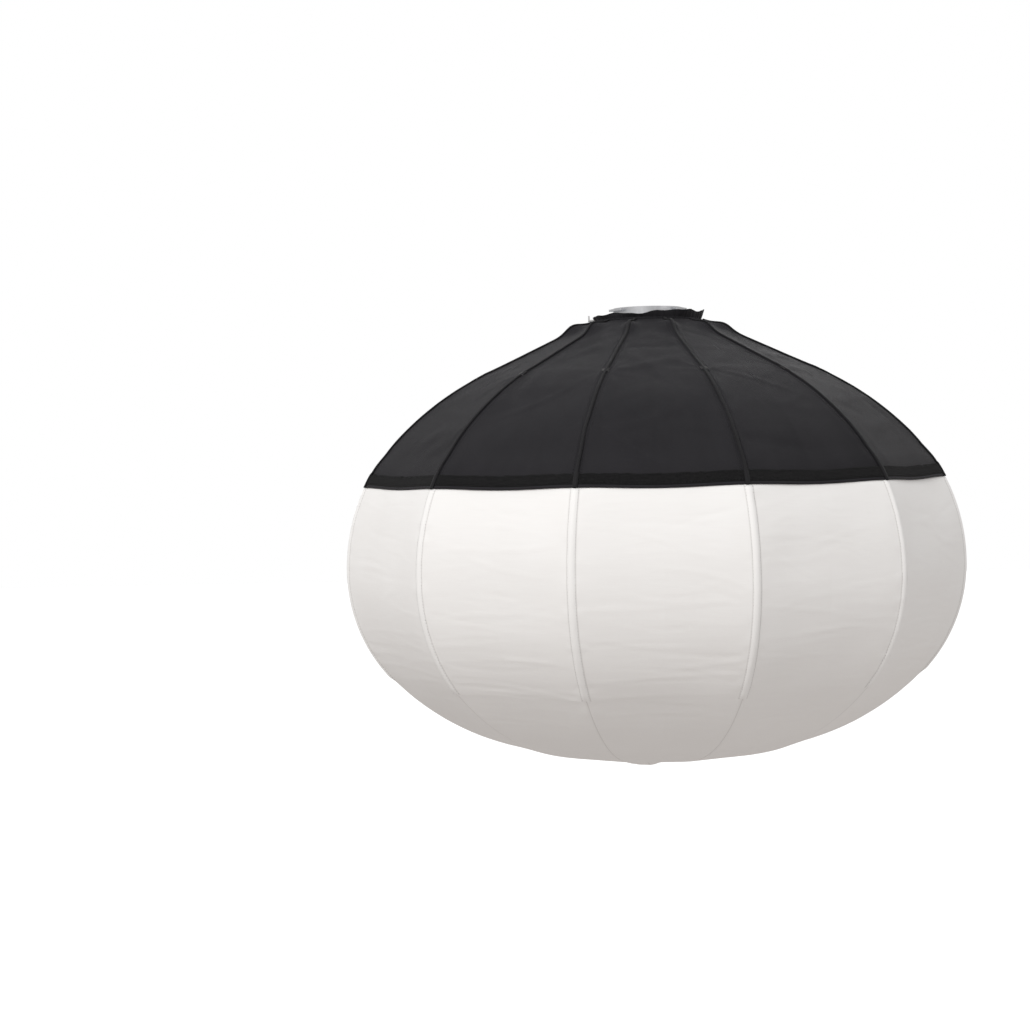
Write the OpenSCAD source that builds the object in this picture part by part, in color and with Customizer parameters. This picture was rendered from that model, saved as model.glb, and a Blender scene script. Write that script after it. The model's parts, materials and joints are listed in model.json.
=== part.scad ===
// Lantern softbox: a globe of twelve fabric gores on a folding twelve-rib frame.
// Origin: centre of the speed ring's top face, where the lamp seats. +Z points to the lamp.
// Every size is in millimetres. Depths are measured down from the speed ring's top face.

/* [Globe] */
// Width of the globe over opposite seams, at its widest level
globe_d = 900; // [720:10:1100]
// Depth of the widest level
waist_depth = 360; // [300:5:440]
// Radius of the side's curve just under the widest level
belly_r = 225; // [180:5:240]
// Radius of the underside's curve next to the rod tips
corner_r = 380; // [320:10:500]
// Slope, in degrees, at which the underside turns into its flat middle
base_slope = 12; // [8:1:18]
// How far inside the widest radius the straight part of a rib ends
shoulder_in = 195; // [180:5:230]
// Height above the widest level at which the straight part of a rib ends
shoulder_up = 275; // [262:1:288]
// How far inside the widest radius the side's curve tightens
flank_in = 82; // [62:2:100]
// Height above the widest level at which the side's curve tightens
flank_up = 195; // [180:1:212]
// Height of the black cover's lower edge above the widest level
hem_up = 120; // [60:5:170]

/* [Fabric] */
// Thickness of the cover and the diffuser as modelled
cloth = 1.3; // [0.8:0.1:2]
// Width of the loop tape sewn along the cover's lower edge
tape_w = 20; // [12:1:30]
// How far the loop tape stands out from the cover
tape_t = 1; // [0.5:0.1:2]
// Gap left between cloth panels that move apart
cloth_gap = 0.4; // [0.2:0.1:1]

/* [Speed ring] */
// Outer diameter of the speed ring's plate
plate_d = 150; // [146:1:160]
// Thickness of the plate
plate_t = 6; // [5:0.5:8]
// Width of the raised land that the lamp seats on
land_w = 15; // [10:1:18]
// Depth of the recess inside the land
recess = 1.6; // [1:0.1:2.5]
// Bore through the bayonet collar, which the light passes
throat_d = 94; // [88:1:96]
// Wall of the bayonet collar
collar_wall = 3; // [2:0.5:4]
// Height of the bayonet collar above the plate
collar_h = 12; // [10:0.5:16]
// How far the three bayonet lugs stand out from the collar
lug_reach = 8; // [5:0.5:9]
// Thickness of a bayonet lug
lug_t = 3; // [2:0.5:4]

/* [Hub] */
// Outer diameter of the rib hub, which the drive ring slides on
hub_d = 160; // [156:1:170]
// How much wider the hub's bore is than the collar, on the radius
hub_step = 2; // [1:0.5:4]
// Height of the rib hub
hub_h = 60; // [56:1:70]
// Radius of the circle on which the ribs are hinged
pivot_r = 66; // [64:0.5:68]
// Depth of the rib hinges
pivot_depth = 40; // [38:0.5:44]
// Diameter of a hinge pin
pin_d = 4; // [3:0.5:5]
// Free play around a pin, on the radius
pin_play = 0.05; // [0.02:0.01:0.1]

/* [Ribs] */
// Diameter of the straight arm of a rib
arm_d = 8; // [6:0.5:10]
// Diameter of the spring rod that carries the cloth
rod_d = 5; // [3:0.5:6]
// Depth of the rod's centre line inside the cloth's outer face
rod_inset = 7; // [7:0.5:12]
// Angle below the level of the widest point at which the rods end
tip_angle = 44; // [34:1:48]
// Diameter of the ball end on a rod
ball_d = 8; // [7:0.5:9]
// How far the hinge knuckle stands out beyond the arm on each side
knuckle_lip = 0.4; // [0.2:0.1:1]
// Length of the crank that joins a rib to the drive ring
crank_l = 28; // [26:0.5:30]
// Thickness of the crank
crank_t = 6; // [5:0.5:7]
// Angle that a rib turns between open and folded
fold_deg = 38.5; // [30:0.5:38.5]

/* [Drive ring] */
// Wall of the drive ring
ring_wall = 5.6; // [4:0.2:7]
// Height of the drive ring's rim
ring_h = 5; // [4:0.5:7]
// Thickness of the two ears at each crank
ear_t = 4.4; // [3:0.2:5]
// Free play between the drive ring and the hub, on the radius
ring_play = 0.4; // [0.2:0.1:0.6]

/* [Collar catch] */
// Width of the catch that locks the bayonet collar
catch_w = 14; // [10:1:18]
// Thickness of the catch
catch_t = 2.4; // [1.5:0.1:2.8]
// How far the catch can be pulled out
catch_travel = 4; // [3:0.5:5]

/* [Hidden] */
ribs = 12;
pitch = 360 / ribs;
half = pitch / 2;
function tag(i) = str(i < 9 ? "0" : "", i + 1);
RIB_NODES = [for (i = [0 : ribs - 1]) str("rib_", tag(i))];
COVER_NODES = [for (i = [0 : ribs - 1]) str("cover_panel_", tag(i))];
DIFFUSER_NODES = [for (i = [0 : ribs - 1]) str("diffuser_panel_", tag(i))];
BASE_NODES = [for (i = [0 : ribs - 1]) str("diffuser_base_", tag(i))];
$fn = 48;
e = 0.01;

// colours
black_cloth = [0.17, 0.17, 0.18];
white_cloth = [0.93, 0.92, 0.90];
black_nylon = [0.08, 0.08, 0.09];
satin_alloy = [0.72, 0.73, 0.75];
steel = [0.60, 0.61, 0.63];
dark_rod = [0.13, 0.13, 0.14];

// speed ring
plate_r = plate_d / 2;
throat_r = throat_d / 2;
collar_r = throat_r + collar_wall;
lug_r = collar_r + lug_reach;
land_r = plate_r - land_w;
hub_r = hub_d / 2;
hub_in = collar_r + hub_step;
flange_t = 3;
neck_hub_r = plate_r - 0.5;
neck_hub_h = 9;
lip = 2.5;
screw_circle = (collar_r + land_r) / 2 + 0.5;
flange_r = screw_circle + 2.5;
screw_r = 1.75;
screw_head_r = 3;
screw_head_t = 1.4;
screw_l = 16;
screw_az = [60, 120, 240, 300];

// neck of the cloth
band_t = 1.6;
band_play = 0.1;
band_top = 4.6;
band_h = 5.4;
neck_r = (plate_r + band_play + band_t + cloth / 2 + 0.25) / cos(half);
neck_depth = 7.8;

// outline of a seam: a line and five arcs, which meet tangentially below the shoulder
globe_r = globe_d / 2;
shoulder = [globe_r - shoulder_in, shoulder_up - waist_depth];
flank = [globe_r - flank_in, flank_up - waist_depth];
upper_r = (flank_in * flank_in + flank_up * flank_up) / (2 * flank_in);
upper_x = globe_r - upper_r;
flank_angle = atan2(flank_up, flank[0] - upper_x);
flank_out = [cos(flank_angle), sin(flank_angle)];
top_run = shoulder - flank;
top_r = -(top_run * top_run) / (2 * (top_run * flank_out));
top_c = flank - top_r * flank_out;
shoulder_angle = atan2(shoulder[1] - top_c[1], shoulder[0] - top_c[0]);
belly_x = globe_r - belly_r;
corner_c = [belly_x + (belly_r - corner_r) * cos(tip_angle),
            -waist_depth - (belly_r - corner_r) * sin(tip_angle)];
under_r = corner_r + corner_c[0] / sin(base_slope);
under_z = corner_c[1] + (under_r - corner_r) * cos(base_slope);
globe_h = under_r - under_z;
hem_angle = asin(hem_up / upper_r);
tape_angle = hem_angle + tape_w / upper_r * 180 / PI;

// ribs
knuckle_r = 7;
pin_r = pin_d / 2;
crank_angle = fold_deg / 2;
crank_x = pivot_r + crank_l * cos(crank_angle);
crank_z = -pivot_depth + crank_l * sin(crank_angle);
crank_far = pivot_r + crank_l;
crank_w = 8;
knuckle_w = arm_d + 2 * knuckle_lip;
slot_w = knuckle_w + 0.6;
slot_in = pivot_r - knuckle_r - 1.5;
slot_top = -pivot_depth + knuckle_r + 6;
pin_l = slot_w + 10;
rod_r = rod_d / 2;
arm_r = arm_d / 2;
splice_l = 16;
arm_end = top_c + (top_r - rod_inset) * [cos(shoulder_angle), sin(shoulder_angle)];
arm_run = [arm_end[0] - pivot_r, arm_end[1] + pivot_depth];
arm_l = norm(arm_run);
arm_tilt = atan2(arm_run[1], arm_run[0]);
tip = [belly_x + (belly_r - rod_inset) * cos(tip_angle),
       -waist_depth - (belly_r - rod_inset) * sin(tip_angle)];

// drive ring, heights measured from the crank pins
ring_in = hub_r + ring_play;
ring_out = ring_in + ring_wall;
rim_low = 9;
ear_low = -5;
ear_high = 5.5;
ear_gap = crank_t + 0.8;
ear_out = crank_far + pin_r + 3.2;
slot_play = 0.3;
cross_l = ear_gap + 2 * ear_t - 0.4;

// collar catch
catch_in = flange_r - 3.4;
catch_out = plate_r + 12;
catch_z = -plate_t + 1.4;
catch_play = 0.2;
nose_l = 3.6;
nose_h = 2.4;
spring_in = catch_in + nose_l + 2.4;
spring_l = 9;
post_x = spring_in + spring_l + 0.2;
post_t = 2;
post_w = 8;
window_w = 10;

// ---------- outline points: [radius, height], t is the depth inside the outer face ----------

function on_arc(x, z, r, from, to, n) =
    [for (k = [0 : n]) let (a = from + (to - from) * k / n) [x + r * cos(a), z + r * sin(a)]];

function neck_line(t) = let (
    run = shoulder - [neck_r, -neck_depth],
    side = [run[1], -run[0]] / norm(run) * t)
    [[neck_r, -neck_depth] + side];

function cover_line(t) = concat(neck_line(t),
    on_arc(top_c[0], top_c[1], top_r - t, shoulder_angle, flank_angle, 4),
    [for (k = [1 : 4]) let (a = flank_angle + (hem_angle - flank_angle) * k / 4)
        [upper_x + (upper_r - t) * cos(a), -waist_depth + (upper_r - t) * sin(a)]]);

function tape_line(t) = on_arc(upper_x, -waist_depth, upper_r - t, tape_angle, hem_angle, 2);

function side_line(t) = let (low = hem_angle - cloth_gap / 2 / upper_r * 57.3)
    concat(on_arc(upper_x, -waist_depth, upper_r - t, low, 0, 5),
           [for (k = [1 : 9]) let (a = -tip_angle * k / 9)
               [belly_x + (belly_r - t) * cos(a), -waist_depth + (belly_r - t) * sin(a)]]);

function base_line(t) = let (
    start = -tip_angle - cloth_gap / corner_r * 57.3,
    turn_in = -90 + base_slope,
    last = -90 + 57.3 * cloth_gap / under_r)
    concat(on_arc(corner_c[0], corner_c[1], corner_r - t, start, turn_in, 6),
           [for (k = [1 : 4]) let (a = turn_in + (last - turn_in) * k / 4)
               [(under_r - t) * cos(a), under_z + (under_r - t) * sin(a)]]);

function ring_of(outer, inner) =
    concat(outer, [for (k = [len(inner) - 1 : -1 : 0]) inner[k]]);

function flat_gore(points) = [for (p = points) [p[0] * cos(half), p[1]]];

// ---------- helpers ----------

module at_rib(i) {
    rotate([0, 0, half + i * pitch])
    children();
}

module rod_between(p, q, r) {
    d = q - p;
    translate(p)
    rotate([0, acos(d[2] / norm(d)), atan2(d[1], d[0])])
    cylinder(r = r, h = norm(d));
}

module tube_part(r_out, r_in, z0, z1) {
    translate([0, 0, z0])
    difference() {
        cylinder(r = r_out, h = z1 - z0, $fn = 96);
        translate([0, 0, -1])
        cylinder(r = r_in, h = z1 - z0 + 2, $fn = 96);
    }
}

// one side of a rib: the flat gore from the seam to the middle between two ribs
module half_gore(points) {
    start = cloth_gap / 2 / tan(half);
    far = globe_r + 20;
    lap = 0.1;
    rotate([0, 0, half])
    intersection() {
        rotate([90, 0, 0])
        linear_extrude(height = far * tan(half) + 1)
        polygon(flat_gore(points));
        translate([0, 0, -globe_h - 20])
        linear_extrude(height = globe_h + 40)
        polygon([[start, -cloth_gap / 2], [far, -cloth_gap / 2],
            [far, -far * tan(half) - lap], [start, -cloth_gap / 2 - lap]]);
    }
}

module gore_pair(points) {
    half_gore(points);
    mirror([0, 1, 0])
    half_gore(points);
}

// ---------- speed ring ----------

// alloy plate with the lamp's seating land, a clear bore and a slide for the catch
module speedring_plate() {
    color(satin_alloy)
    difference() {
        tube_part(plate_r, collar_r + 0.1, -plate_t, 0);
        translate([0, 0, -recess])
        cylinder(r = land_r, h = recess + 1, $fn = 96);
        for (a = screw_az)
        rotate([0, 0, a])
        translate([screw_circle, 0, -plate_t - 1])
        cylinder(r = screw_r + 0.1, h = plate_t + 2);
        catch_slide(catch_play);
    }
}

// collar that plugs into the lamp, with three lugs and a foot flange under the plate
module bayonet_collar() {
    color(satin_alloy)
    difference() {
        union() {
            tube_part(collar_r, throat_r, -plate_t - flange_t, collar_h);
            tube_part(flange_r - 0.2, collar_r - e, -plate_t - flange_t, -plate_t);
            for (k = [0 : 2])
            rotate([0, 0, 90 + 120 * k])
            lug();
        }
        for (a = screw_az)
        rotate([0, 0, a])
        translate([screw_circle, 0, -plate_t - flange_t - 1])
        cylinder(r = screw_r + 0.1, h = flange_t + 2);
        translate([-flange_r - 1, -catch_w / 2 - catch_play, -plate_t - flange_t - 1])
        cube([flange_r - catch_in + 1, catch_w + 2 * catch_play, flange_t + 1 + e]);
    }
}

module lug() {
    intersection() {
        tube_part(lug_r, collar_r - e, collar_h - lug_t - 2, collar_h - 2);
        rotate([0, 0, -17])
        translate([0, 0, collar_h - lug_t - 3])
        linear_extrude(height = lug_t + 4)
        polygon([[0, 0], [200, 0], [200 * cos(34), 200 * sin(34)]]);
    }
}

// four countersunk-flush screws that clamp plate, flange and hub together
module plate_screws() {
    color(steel)
    for (a = screw_az)
    rotate([0, 0, a])
    translate([screw_circle, 0, 0]) {
        difference() {
            translate([0, 0, -recess])
            cylinder(r = screw_head_r, h = screw_head_t);
            translate([0, 0, -recess + 0.5])
            cylinder(r = 1.4, h = 3, $fn = 6);
        }
        translate([0, 0, -recess - screw_l])
        cylinder(r = screw_r, h = screw_l + e);
    }
}

// the space that the catch slides in; g is the free play around it
module catch_slide(g) {
    translate([-catch_out - 20, -catch_w / 2 - g, catch_z - catch_t / 2 - g])
    cube([catch_out + 20 - catch_in + g, catch_w + 2 * g, catch_t + 2 * g]);
}

// moulded hub: twelve hinge slots, a smooth outer wall for the drive ring, a lip that stops it
module rib_hub() {
    top = -plate_t;
    color(black_nylon)
    difference() {
        union() {
            tube_part(hub_r, hub_in, top - hub_h, top - neck_hub_h);
            tube_part(neck_hub_r, hub_in, top - neck_hub_h - 1, top);
            tube_part(hub_r + lip, hub_in + 10, top - hub_h, top - hub_h + lip);
        }
        translate([0, 0, top - flange_t - 0.2])
        cylinder(r = flange_r + 0.1, h = flange_t + 1, $fn = 96);
        for (a = screw_az)
        rotate([0, 0, a])
        translate([screw_circle, 0, -recess - screw_l - 1])
        cylinder(r = screw_r + 0.1, h = screw_l);
        for (i = [0 : ribs - 1])
        at_rib(i) {
            translate([slot_in, -slot_w / 2, top - hub_h - 1])
            cube([hub_r, slot_w, slot_top - top + hub_h + 1]);
            translate([pivot_r, pin_l / 2 + 0.2, -pivot_depth])
            rotate([90, 0, 0])
            cylinder(r = pin_r + 0.02, h = pin_l + 0.4);
        }
        catch_pocket();
    }
    color(black_nylon)
    catch_post();
}

// room in the hub's top for the catch's nose to slide back
module catch_pocket() {
    translate([-catch_in - nose_l - catch_travel - 1, -catch_w / 2 - catch_play,
        -plate_t - flange_t - 0.2])
    cube([nose_l + catch_travel + 4, catch_w + 2 * catch_play, flange_t + 1]);
}

// post that the catch's spring pushes against
module catch_post() {
    translate([-post_x - post_t, -post_w / 2, -plate_t - 1])
    cube([post_t, post_w, catch_z + catch_t / 2 - 0.1 + plate_t + 1]);
}

module hinge_pins() {
    color(steel)
    for (i = [0 : ribs - 1])
    at_rib(i)
    translate([pivot_r, pin_l / 2, -pivot_depth])
    rotate([90, 0, 0])
    cylinder(r = pin_r, h = pin_l);
}

// band that clamps the cloth's neck round the speed ring, open where the catch comes out
module neck_band() {
    color(black_nylon)
    difference() {
        tube_part(plate_r + band_play + band_t, plate_r + band_play,
            -band_top - band_h, -band_top);
        catch_slide(catch_play + 0.4);
    }
}

// flat bow spring behind the catch
module catch_spring() {
    w = 0.6;
    color(steel)
    translate([-spring_in - spring_l, 0, catch_z - catch_t / 2])
    linear_extrude(height = catch_t)
    difference() {
        polygon([[0, -4.5], [2.2, -4.5], [spring_l, 0], [2.2, 4.5], [0, 4.5]]);
        polygon([[w, -4.5 + w], [2.2 - w / 2, -4.5 + w], [spring_l - 1.2 * w, 0],
            [2.2 - w / 2, 4.5 - w], [w, 4.5 - w]]);
    }
}

// sheet-steel catch: its nose sits in a notch of the collar's flange, its bent end is the pull
module collar_catch() {
    color(steel)
    difference() {
        union() {
            translate([-catch_out, -catch_w / 2, catch_z - catch_t / 2])
            cube([catch_out - catch_in - 0.4, catch_w, catch_t]);
            translate([-catch_in - nose_l, -catch_w / 2, catch_z - catch_t / 2 - nose_h])
            cube([nose_l - 0.4, catch_w, catch_t + nose_h]);
            translate([-catch_out, -catch_w / 2, catch_z - catch_t / 2])
            cube([catch_t, catch_w, 8]);
        }
        translate([-post_x - post_t - 0.5, -window_w / 2, catch_z - catch_t])
        cube([post_x + post_t + 0.7 - spring_in, window_w, 2 * catch_t]);
    }
}

// ---------- drive ring ----------

// ring that slides on the hub and swings all twelve ribs together through their cranks
module drive_ring() {
    color(black_nylon)
    translate([0, 0, crank_z])
    difference() {
        union() {
            tube_part(ring_out, ring_in - 1, rim_low, rim_low + ring_h);
            for (i = [0 : ribs - 1])
            at_rib(i)
            for (s = [-1, 1])
            ear(s);
        }
        translate([0, 0, -50])
        cylinder(r = ring_in, h = 100, $fn = 96);
        for (i = [0 : ribs - 1])
        at_rib(i)
        cross_slot();
    }
}

module ear(s) {
    y = s > 0 ? ear_gap / 2 : -ear_gap / 2 - ear_t;
    translate([ring_in - 2, y, ear_low])
    cube([ear_out - ring_in + 2, ear_t, ear_high - ear_low]);
    translate([ring_in - 2, y, ear_low])
    cube([ring_out - ring_in + 1.5, ear_t, rim_low - ear_low + 1]);
}

// slot that lets the crank pin move in and out as the crank swings
module cross_slot() {
    g = pin_r + slot_play;
    for (x = [crank_x - 0.4, crank_far + 0.4])
    translate([x, 30, 0])
    rotate([90, 0, 0])
    cylinder(r = g, h = 60);
    translate([crank_x - 0.4, -30, -g])
    cube([crank_far - crank_x + 0.8, 60, 2 * g]);
}

// ---------- ribs ----------

// knuckle, crank, straight arm and spring rod of one rib
module rib() {
    difference() {
        union() {
            color(black_nylon)
            knuckle();
            color(satin_alloy)
            rod_between([pivot_r, 0, -pivot_depth], [arm_end[0], 0, arm_end[1]], arm_r);
            color(dark_rod)
            rod();
        }
        translate([pivot_r, 20, -pivot_depth])
        rotate([90, 0, 0])
        cylinder(r = pin_r + pin_play, h = 40);
    }
}

module knuckle() {
    translate([pivot_r, knuckle_w / 2, -pivot_depth])
    rotate([90, 0, 0])
    cylinder(r = knuckle_r, h = knuckle_w);
    translate([pivot_r, 0, -pivot_depth])
    rotate([0, -crank_angle, 0]) {
        translate([0, -crank_t / 2, -crank_w / 2])
        cube([crank_l, crank_t, crank_w]);
        translate([crank_l, crank_t / 2, 0])
        rotate([90, 0, 0])
        cylinder(r = crank_w / 2, h = crank_t);
        translate([crank_l, cross_l / 2, 0])
        rotate([90, 0, 0])
        cylinder(r = pin_r, h = cross_l);
    }
    translate([pivot_r, 0, -pivot_depth])
    rotate([0, -arm_tilt, 0])
    translate([0, -crank_t / 2, -arm_r - 1])
    cube([30, crank_t, 2 * arm_r + 1.4]);
}

// angle that takes up a millimetre of an arc: the rods stop this short inside a splice
function turn(r) = 180 / PI / r;

// part of the rod that follows one arc of the outline
module rod_arc(c, r, from, to) {
    translate([c[0], 0, c[1]])
    rotate([90, 0, 0])
    rotate([0, 0, from])
    rotate_extrude(angle = to - from)
    translate([r - rod_inset, 0])
    circle(r = rod_r, $fn = 24);
}

// sleeve that joins two lengths of rod
module splice(c, r, at) {
    translate([c[0], 0, c[1]])
    rotate([0, -at, 0])
    translate([r - rod_inset, 0, -splice_l / 2])
    cylinder(r = rod_r + 0.8, h = splice_l);
}

module rod() {
    rod_arc(top_c, top_r, flank_angle + turn(top_r), shoulder_angle);
    rod_arc([upper_x, -waist_depth], upper_r, turn(upper_r), flank_angle - turn(upper_r));
    rod_arc([belly_x, -waist_depth], belly_r, -tip_angle, -turn(belly_r));
    splice([upper_x, -waist_depth], upper_r, flank_angle);
    splice([upper_x, -waist_depth], upper_r, 0);
    translate([arm_end[0], 0, arm_end[1]])
    sphere(r = arm_r + 0.6);
    translate([tip[0], 0, tip[1]])
    sphere(r = ball_d / 2);
}

// ---------- cloth ----------

// black cover between the middles of two neighbouring gores, with the loop tape on its hem
module cover_panel() {
    color(black_cloth)
    gore_pair(ring_of(cover_line(0), cover_line(cloth)));
    color(black_cloth)
    gore_pair(ring_of(tape_line(-tape_t), tape_line(e)));
}

module diffuser_panel() {
    color(white_cloth)
    gore_pair(ring_of(side_line(0), side_line(cloth)));
}

module diffuser_base() {
    color(white_cloth)
    gore_pair(ring_of(base_line(0), base_line(cloth)));
}

// ---------- assembly ----------

speedring_plate();
bayonet_collar();
plate_screws();
rib_hub();
hinge_pins();
neck_band();
catch_spring();
collar_catch();
drive_ring();
for (i = [0 : ribs - 1]) at_rib(i) rib();
for (i = [0 : ribs - 1]) at_rib(i) cover_panel();
for (i = [0 : ribs - 1]) at_rib(i) diffuser_panel();
for (i = [0 : ribs - 1]) at_rib(i) diffuser_base();
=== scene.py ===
# Hanging lantern softbox: twelve sprung ribs in a black cover over a white globe.
# Lengths are in metres. "along" runs down a seam from the neck to the lowest point, "across" runs
# from a seam towards the middle of the gore beside it, and a gore is the cloth between two ribs.
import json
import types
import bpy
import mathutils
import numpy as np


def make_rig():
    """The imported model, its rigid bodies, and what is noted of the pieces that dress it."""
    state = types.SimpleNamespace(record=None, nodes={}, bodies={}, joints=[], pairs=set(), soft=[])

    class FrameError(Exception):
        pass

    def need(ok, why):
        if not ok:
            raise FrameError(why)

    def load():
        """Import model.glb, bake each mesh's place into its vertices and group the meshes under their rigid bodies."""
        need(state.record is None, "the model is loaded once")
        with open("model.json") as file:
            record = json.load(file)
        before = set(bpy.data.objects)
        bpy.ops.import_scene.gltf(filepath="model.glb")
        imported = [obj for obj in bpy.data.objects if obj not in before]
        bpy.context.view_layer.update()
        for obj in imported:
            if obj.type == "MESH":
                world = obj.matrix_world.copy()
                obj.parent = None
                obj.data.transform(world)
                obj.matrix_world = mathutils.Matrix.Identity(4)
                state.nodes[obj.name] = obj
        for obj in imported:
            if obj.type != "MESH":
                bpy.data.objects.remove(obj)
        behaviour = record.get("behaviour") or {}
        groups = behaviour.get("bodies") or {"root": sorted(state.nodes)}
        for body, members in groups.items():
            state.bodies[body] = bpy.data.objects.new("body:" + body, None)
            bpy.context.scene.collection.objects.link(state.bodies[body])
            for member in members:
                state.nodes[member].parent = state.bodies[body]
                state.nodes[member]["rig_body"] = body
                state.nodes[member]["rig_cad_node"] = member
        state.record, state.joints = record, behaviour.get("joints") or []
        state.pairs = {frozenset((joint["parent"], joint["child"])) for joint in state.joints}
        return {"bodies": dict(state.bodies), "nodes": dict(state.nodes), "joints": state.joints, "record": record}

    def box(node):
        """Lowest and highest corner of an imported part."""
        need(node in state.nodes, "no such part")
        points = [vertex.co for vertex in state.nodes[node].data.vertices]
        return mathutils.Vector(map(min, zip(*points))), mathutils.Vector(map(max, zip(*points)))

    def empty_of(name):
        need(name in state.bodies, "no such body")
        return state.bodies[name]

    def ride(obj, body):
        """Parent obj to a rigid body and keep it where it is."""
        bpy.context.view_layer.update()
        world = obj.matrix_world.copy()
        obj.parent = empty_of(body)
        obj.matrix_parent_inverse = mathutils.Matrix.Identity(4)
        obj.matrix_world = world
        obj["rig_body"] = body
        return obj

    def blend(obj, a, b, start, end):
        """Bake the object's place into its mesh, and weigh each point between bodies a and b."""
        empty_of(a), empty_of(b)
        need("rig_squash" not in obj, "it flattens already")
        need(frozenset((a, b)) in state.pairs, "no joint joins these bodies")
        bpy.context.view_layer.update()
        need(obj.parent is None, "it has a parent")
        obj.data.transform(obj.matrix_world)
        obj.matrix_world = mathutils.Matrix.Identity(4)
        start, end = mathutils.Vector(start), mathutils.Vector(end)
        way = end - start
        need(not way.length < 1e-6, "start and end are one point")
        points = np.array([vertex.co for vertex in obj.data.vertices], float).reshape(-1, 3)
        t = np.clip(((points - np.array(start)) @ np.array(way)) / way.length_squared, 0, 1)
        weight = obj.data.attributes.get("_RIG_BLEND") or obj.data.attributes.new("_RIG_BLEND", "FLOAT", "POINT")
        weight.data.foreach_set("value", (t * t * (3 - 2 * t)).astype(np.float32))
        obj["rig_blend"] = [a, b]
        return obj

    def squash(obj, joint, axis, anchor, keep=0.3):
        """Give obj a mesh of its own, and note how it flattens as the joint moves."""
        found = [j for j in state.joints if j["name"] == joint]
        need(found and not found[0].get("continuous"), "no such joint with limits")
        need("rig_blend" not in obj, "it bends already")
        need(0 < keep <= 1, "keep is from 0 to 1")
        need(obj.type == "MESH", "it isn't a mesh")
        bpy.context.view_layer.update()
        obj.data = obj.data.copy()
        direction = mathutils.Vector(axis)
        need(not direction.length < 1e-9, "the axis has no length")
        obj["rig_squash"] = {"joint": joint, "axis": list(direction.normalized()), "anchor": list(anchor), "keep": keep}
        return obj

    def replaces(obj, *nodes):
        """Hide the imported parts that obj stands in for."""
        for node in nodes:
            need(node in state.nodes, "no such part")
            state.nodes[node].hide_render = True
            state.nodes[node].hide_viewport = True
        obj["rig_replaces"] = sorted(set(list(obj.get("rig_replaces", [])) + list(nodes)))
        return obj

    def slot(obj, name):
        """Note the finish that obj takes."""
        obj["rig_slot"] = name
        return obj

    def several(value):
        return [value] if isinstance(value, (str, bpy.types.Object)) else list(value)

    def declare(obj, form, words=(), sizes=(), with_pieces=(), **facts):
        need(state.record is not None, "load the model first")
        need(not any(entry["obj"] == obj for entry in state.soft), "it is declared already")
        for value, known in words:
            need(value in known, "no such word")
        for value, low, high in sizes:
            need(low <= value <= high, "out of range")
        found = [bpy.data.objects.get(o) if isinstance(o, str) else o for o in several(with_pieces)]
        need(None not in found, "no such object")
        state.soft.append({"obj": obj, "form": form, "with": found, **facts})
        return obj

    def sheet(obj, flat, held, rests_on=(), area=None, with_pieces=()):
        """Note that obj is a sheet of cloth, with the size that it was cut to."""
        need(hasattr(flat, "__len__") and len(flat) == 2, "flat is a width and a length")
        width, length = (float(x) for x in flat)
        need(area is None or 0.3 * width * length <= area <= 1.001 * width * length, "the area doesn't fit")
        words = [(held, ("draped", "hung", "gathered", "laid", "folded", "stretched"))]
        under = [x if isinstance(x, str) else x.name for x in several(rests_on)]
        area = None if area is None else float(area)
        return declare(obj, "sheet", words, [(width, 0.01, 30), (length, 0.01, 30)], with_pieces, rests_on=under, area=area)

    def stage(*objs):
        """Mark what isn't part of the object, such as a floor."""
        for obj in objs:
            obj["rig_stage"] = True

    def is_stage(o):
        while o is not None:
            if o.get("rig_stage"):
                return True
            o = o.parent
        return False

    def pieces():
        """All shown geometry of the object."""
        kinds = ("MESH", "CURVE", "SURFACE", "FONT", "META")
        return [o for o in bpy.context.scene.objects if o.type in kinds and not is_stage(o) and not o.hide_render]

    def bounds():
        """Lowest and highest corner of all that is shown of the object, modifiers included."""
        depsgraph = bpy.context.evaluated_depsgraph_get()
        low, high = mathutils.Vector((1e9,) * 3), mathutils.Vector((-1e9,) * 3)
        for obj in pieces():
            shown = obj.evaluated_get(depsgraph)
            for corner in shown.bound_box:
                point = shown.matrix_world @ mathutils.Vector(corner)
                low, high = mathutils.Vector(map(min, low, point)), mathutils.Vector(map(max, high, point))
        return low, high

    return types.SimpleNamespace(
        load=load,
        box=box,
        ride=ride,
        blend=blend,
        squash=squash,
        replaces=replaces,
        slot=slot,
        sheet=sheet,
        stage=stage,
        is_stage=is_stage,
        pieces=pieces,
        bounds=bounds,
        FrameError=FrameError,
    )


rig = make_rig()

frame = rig.load()

import json
import math

import bpy
import numpy as np
from mathutils import Matrix, Vector

cad_low, cad_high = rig.bounds()

MM = 0.001
RIBS = 12
PITCH = 2 * math.pi / RIBS
HALF = PITCH / 2
BAND_WIDTH = 20 * MM
HEM_WIDTH = 4 * MM
SLEEVE = 6 * MM
PATCH_RADIUS = 78 * MM
NECK_LAP = 4 * MM
SEED = 41


# ---------- camera, light and floor ----------

def aim_camera():
    """A long lens a little below the rim, with the lantern right of the middle."""
    lens = bpy.data.cameras.new("camera")
    lens.lens = 69.2
    lens.sensor_width = 36
    camera = bpy.data.objects.new("camera", lens)
    bpy.context.scene.collection.objects.link(camera)
    heading, tilt, roll = math.radians(2.04), math.radians(-1.88), math.radians(-1.2)
    turn = (Matrix.Rotation(heading, 4, "Z") @ Matrix.Rotation(math.pi / 2 + tilt, 4, "X")
            @ Matrix.Rotation(roll, 4, "Z"))
    camera.matrix_world = Matrix.Translation((-0.0965, -2.908, -0.191)) @ turn
    bpy.context.scene.camera = camera


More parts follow.
